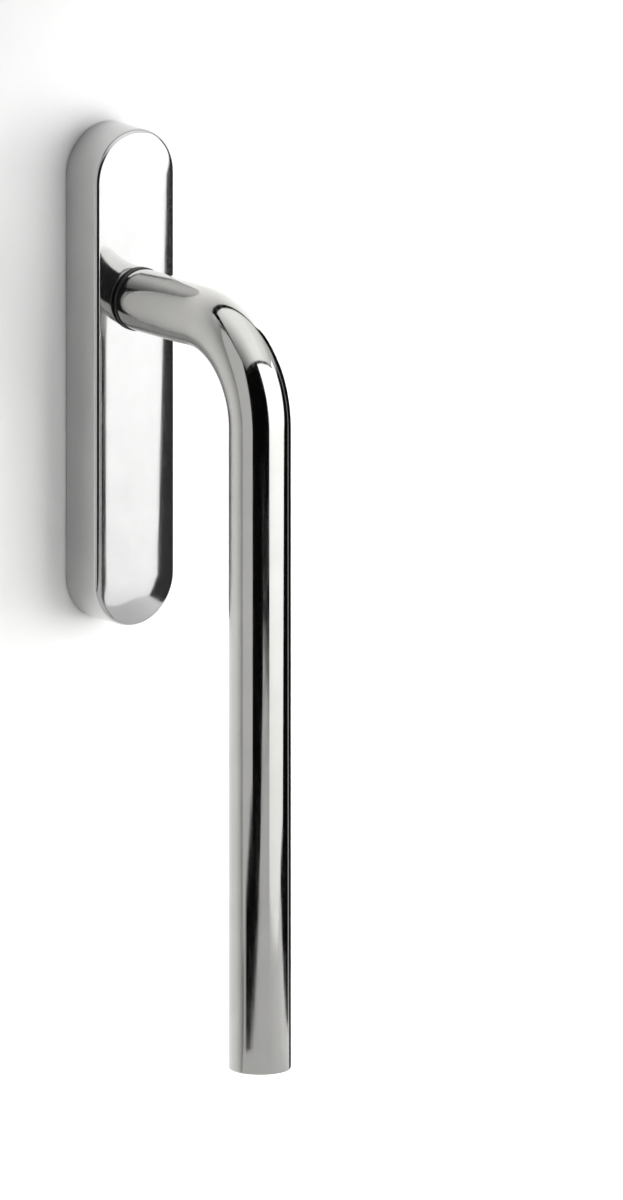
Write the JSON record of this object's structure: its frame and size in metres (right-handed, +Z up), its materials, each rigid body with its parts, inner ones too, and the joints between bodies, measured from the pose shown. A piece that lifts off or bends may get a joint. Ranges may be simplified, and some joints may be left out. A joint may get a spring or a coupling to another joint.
{
  "type": "window handle",
  "caption": "Long rounded cover plate with a bent round-tube lever that turns in quarter-turn clicks and drives a square spindle.",
  "frame": {"origin": "where the spindle's axis meets the sash face, at the back of the plate", "axes": "+Y into the sash, -Y out towards the room, +Z up, +X to the right seen from the room; the lever hangs down at rest"},
  "size_m": [0.032, 0.131, 0.295],
  "materials": {
    "polished_steel": "mirror-polished stainless steel, slightly warm",
    "steel": "bright zinc-plated steel",
    "zinc": "as-cast zinc, satin",
    "black_plastic": "black acetal, semi-gloss",
    "nylon": "natural nylon"
  },
  "bodies": {
    "base": {"cover_plate": "polished_steel", "base_plate": "zinc", "detent_housing": "zinc", "housing_screws": "steel", "front_bush": "nylon", "glide_ring": "black_plastic", "wave_washer": "steel", "detent_spring_top": "steel", "detent_spring_bottom": "steel", "spring_plugs": "steel", "mounting_screws": "steel", "locating_pegs": "nylon", "lower_fixing_screw": "steel", "cover_grub_screw": "steel"},
    "handle": {"grip_tube": "polished_steel", "grip_end_plug": "polished_steel", "rotor_spigot": "steel", "detent_cam": "steel", "retaining_ring": "steel", "spindle": "steel", "spindle_pin": "steel", "neck_grub_screw": "steel"},
    "ball_top": {"detent_ball_top": "steel"},
    "ball_bottom": {"detent_ball_bottom": "steel"}
  },
  "joints": [
    {"name": "handle_turn", "type": "hinge", "parent": "base", "child": "handle", "pos_m": [0, 0, 0], "axis": [0, -1, 0], "range_deg": [0, 180]},
    {"name": "ball_top_slide", "type": "slide", "parent": "base", "child": "ball_top", "axis": [0, 0, 1], "range_m": [-0.0006, 0], "stiffness_N_per_m": 500, "springref_m": -0.0006, "deforming": ["detent_spring_top"]},
    {"name": "ball_bottom_slide", "type": "slide", "parent": "base", "child": "ball_bottom", "axis": [0, 0, -1], "range_m": [-0.0006, 0], "stiffness_N_per_m": 500, "springref_m": -0.0006, "deforming": ["detent_spring_bottom"]}
  ]
}
